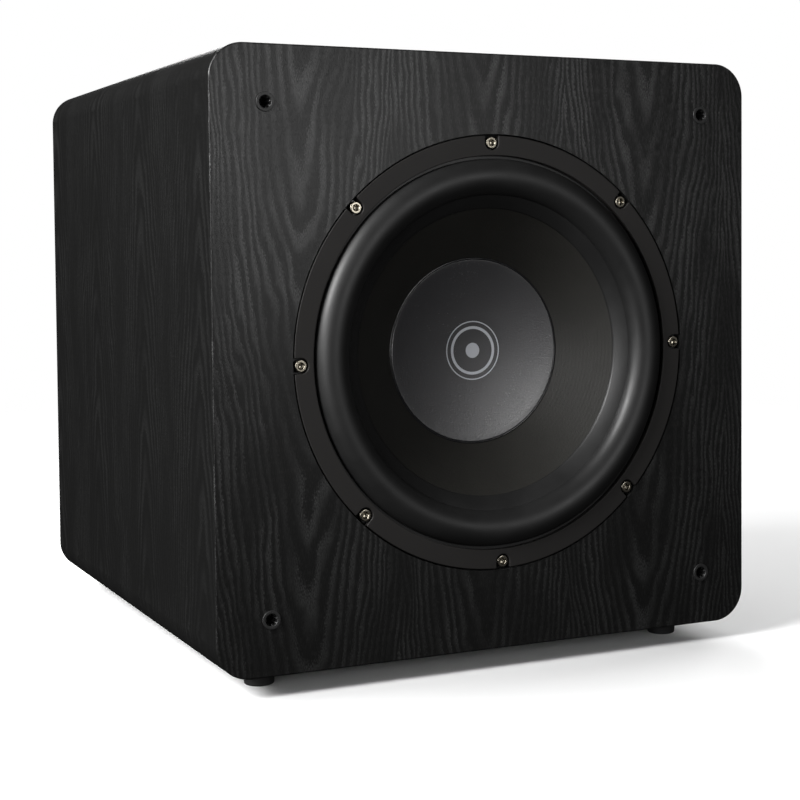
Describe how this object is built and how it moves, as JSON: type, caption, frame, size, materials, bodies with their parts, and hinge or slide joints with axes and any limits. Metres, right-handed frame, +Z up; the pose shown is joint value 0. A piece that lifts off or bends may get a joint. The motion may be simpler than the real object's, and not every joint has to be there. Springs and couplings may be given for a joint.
{
  "type": "powered subwoofer",
  "caption": "Powered subwoofer: black woodgrain cube cabinet, front cone driver with rubber surround and screwed trim ring, plate amplifier at the back, round rubber feet.",
  "frame": {"origin": "centre of the bounding box at floor level, under the rubber feet", "axes": "+Z up, -Y out of the driver's front, +X to the right as seen from the front"},
  "size_m": [0.42, 0.46, 0.435],
  "materials": {
    "black_ash_vinyl": "satin black ash woodgrain film, vertical grain",
    "fibreboard": "raw MDF",
    "rear_board_paint": "matt black paint on board",
    "wadding": "loose polyester fibre",
    "trim_plastic": "fine matt texture",
    "surround_rubber": "satin butyl rubber",
    "cone_paper": "black coated pulp",
    "cap_plastic": "fine satin pebble",
    "printed_grey": "light grey print",
    "coil_former": "polyimide film",
    "copper_wire": "enamelled copper",
    "spider_cloth": "resin-stiffened weave",
    "basket_paint": "black powder coat",
    "gasket_foam": "closed-cell foam",
    "zinc_plate": "zinc-plated steel",
    "ferrite": "sintered ferrite",
    "boot_rubber": "matt moulded rubber",
    "black_plastic": "moulded black plastic",
    "gloss_black_plastic": "glossy moulded plastic",
    "cable_jacket": "PVC jacket",
    "amp_plate_paint": "fine black powder coat",
    "anodised": "black anodised extrusion",
    "circuit_board": "green solder mask",
    "winding_tape": "yellow polyester tape",
    "foot_rubber": "matt moulded rubber",
    "screw_steel": "bright zinc-plated steel",
    "led_lens": "tinted lens",
    "gold_plate": "gold-plated contact",
    "jack_collar_red": "moulded collar",
    "jack_collar_white": "moulded collar",
    "copper_braid": "woven copper lead",
    "capacitor_sleeve": "shrink sleeve"
  },
  "bodies": {
    "cabinet": {"amp_board": "circuit_board", "amp_gasket": "gasket_foam", "amp_plate": "amp_plate_paint", "basket_gasket": "gasket_foam", "bottom_panel": "fibreboard", "crossover_pot": "zinc_plate", "driver_basket": "basket_paint", "driver_screw_1": "screw_steel", "driver_screw_2": "screw_steel", "driver_screw_3": "screw_steel", "driver_screw_4": "screw_steel", "driver_screw_5": "screw_steel", "driver_screw_6": "screw_steel", "driver_screw_7": "screw_steel", "driver_screw_8": "screw_steel", "driver_terminal_block": "black_plastic", "driver_trim_ring": "trim_plastic", "ferrite_magnet": "ferrite", "foot_front_left": "foot_rubber", "foot_front_right": "foot_rubber", "foot_rear_left": "foot_rubber", "foot_rear_right": "foot_rubber", "front_baffle": "fibreboard", "grille_socket_lower_left": "black_plastic", "grille_socket_lower_right": "black_plastic", "grille_socket_upper_left": "black_plastic", "grille_socket_upper_right": "black_plastic", "heat_sink": "anodised", "left_side_panel": "fibreboard", "line_input_block": "black_plastic", "magnet_boot": "boot_rubber", "mains_inlet": "black_plastic", "phase_switch_body": "black_plastic", "power_switch_body": "black_plastic", "rear_panel": "rear_board_paint", "right_side_panel": "fibreboard", "speaker_cable": "cable_jacket", "spider": "spider_cloth", "status_led": "led_lens", "surround": "surround_rubber", "t_yoke": "zinc_plate", "top_panel": "fibreboard", "top_plate": "zinc_plate", "toroidal_transformer": "winding_tape", "vinyl_wrap": "black_ash_vinyl", "volume_pot": "zinc_plate", "wadding_blanket": "wadding", "window_brace": "fibreboard"},
    "cone": {"cone": "cone_paper", "dust_cap": "cap_plastic", "dust_cap_badge": "printed_grey", "voice_coil_former": "coil_former", "voice_coil_winding": "copper_wire"},
    "volume": {"volume_knob": "black_plastic", "volume_shaft": "zinc_plate"},
    "crossover": {"crossover_knob": "black_plastic", "crossover_shaft": "zinc_plate"},
    "phase": {"phase_slider": "black_plastic"},
    "rocker": {"power_rocker": "gloss_black_plastic"},
    "drawer": {"fuse_drawer": "black_plastic"}
  },
  "joints": [
    {"name": "cone_travel", "type": "slide", "parent": "cabinet", "child": "cone", "axis": [0, -1, 0], "range_m": [-0.01, 0.01], "stiffness_N_per_m": 5000, "deforming": ["surround", "spider"]},
    {"name": "volume_turn", "type": "hinge", "parent": "cabinet", "child": "volume", "pos_m": [0.07, 0.223, 0.325], "axis": [0, 1, 0], "range_deg": [-150, 150]},
    {"name": "crossover_turn", "type": "hinge", "parent": "cabinet", "child": "crossover", "pos_m": [0.015, 0.223, 0.325], "axis": [0, 1, 0], "range_deg": [-150, 150]},
    {"name": "phase_slide", "type": "slide", "parent": "cabinet", "child": "phase", "axis": [1, 0, 0], "range_m": [0, 0.004]},
    {"name": "power_rock", "type": "hinge", "parent": "cabinet", "child": "rocker", "pos_m": [0.015, 0.215, 0.117], "axis": [1, 0, 0], "range_deg": [0, 18]},
    {"name": "fuse_drawer_slide", "type": "slide", "parent": "cabinet", "child": "drawer", "axis": [0, 1, 0], "range_m": [0, 0.018]}
  ]
}
